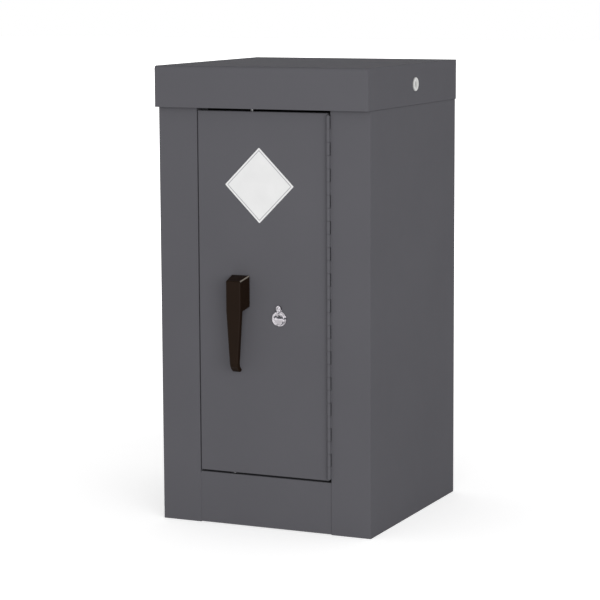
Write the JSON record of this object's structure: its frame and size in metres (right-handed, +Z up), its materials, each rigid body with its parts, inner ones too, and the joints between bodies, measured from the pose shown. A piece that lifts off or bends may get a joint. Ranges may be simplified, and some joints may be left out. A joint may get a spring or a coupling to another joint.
{
  "type": "hazardous substance cupboard",
  "caption": "Floor-standing steel cupboard with an inset door on a continuous hinge, a lever handle that drives locking rods, a shelf and a sump tray.",
  "frame": {"origin": "on the floor, at the middle of the whole outline's width and depth", "axes": "+Z up, -Y out of the front with the door, +X to the viewer's right"},
  "size_m": [0.4624, 0.4934, 0.915],
  "materials": {
    "grey_paint": "satin grey powder coat",
    "inner_paint": "satin grey powder coat",
    "pale_plastic": "moulded",
    "zinc": "zinc plated",
    "rubber": "matt black",
    "nylon": "moulded black",
    "black_handle": "near-black, slightly brown, satin",
    "chrome": "chrome plated",
    "brass": "plain"
  },
  "bodies": {
    "cabinet": {"left_side_panel": "grey_paint", "right_side_panel": "grey_paint", "top_cap": "grey_paint", "header_rail": "grey_paint", "plinth_panel": "grey_paint", "back_panel": "grey_paint", "sump_tray": "inner_paint", "vent_plug_left": "pale_plastic", "vent_plug_right": "pale_plastic", "shelf": "inner_paint", "shelf_strip_front_left": "zinc", "shelf_clip_front_left": "zinc", "shelf_strip_front_right": "zinc", "shelf_clip_front_right": "zinc", "shelf_strip_back_left": "zinc", "shelf_clip_back_left": "zinc", "shelf_strip_back_right": "zinc", "shelf_clip_back_right": "zinc", "hinge_frame_leaf": "grey_paint", "hinge_pin": "grey_paint", "door_buffer_upper": "rubber", "door_buffer_lower": "rubber"},
    "door": {"door_panel": "grey_paint", "door_stiffener": "grey_paint", "hinge_door_leaf": "grey_paint", "rod_bush_top": "nylon", "rod_bush_bottom": "nylon", "rod_guide_top": "zinc", "rod_guide_bottom": "zinc", "handle_bush": "nylon", "bush_nut": "zinc", "lock_body": "chrome", "lock_nut": "zinc", "cover_rivet": "chrome"},
    "handle": {"handle_lever": "black_handle", "handle_spindle": "zinc", "cam_plate": "zinc", "spindle_screw": "zinc"},
    "top_bolt": {"top_rod": "zinc"},
    "bottom_bolt": {"bottom_rod": "zinc"},
    "lock": {"lock_plug": "brass", "lock_tongue": "zinc", "tongue_screw": "zinc"},
    "cover": {"dust_cover": "chrome"}
  },
  "joints": [
    {"name": "door_swing", "type": "hinge", "parent": "cabinet", "child": "door", "pos_m": [0.1403, -0.21275, 0.468], "axis": [0, 0, 1], "range_deg": [0, 135]},
    {"name": "handle_turn", "type": "hinge", "parent": "door", "child": "handle", "pos_m": [-0.049, -0.20875, 0.467], "axis": [0, -1, 0], "range_deg": [0, 90]},
    {"name": "top_bolt_slide", "type": "slide", "parent": "door", "child": "top_bolt", "axis": [0, 0, 1], "range_m": [0, 0.02264]},
    {"name": "bottom_bolt_slide", "type": "slide", "parent": "door", "child": "bottom_bolt", "axis": [0, 0, -1], "range_m": [0, 0.02264]},
    {"name": "lock_turn", "type": "hinge", "parent": "door", "child": "lock", "pos_m": [0.033, -0.20875, 0.4235], "axis": [0, -1, 0], "range_deg": [0, 90]},
    {"name": "cover_swing", "type": "hinge", "parent": "door", "child": "cover", "pos_m": [0.033, -0.20875, 0.4442], "axis": [0, -1, 0], "range_deg": [-100, 100]}
  ],
  "couplings": [
    {"joint": "top_bolt_slide", "follows": "handle_turn", "m_per_rad": 0.014405},
    {"joint": "bottom_bolt_slide", "follows": "handle_turn", "m_per_rad": 0.014405}
  ]
}
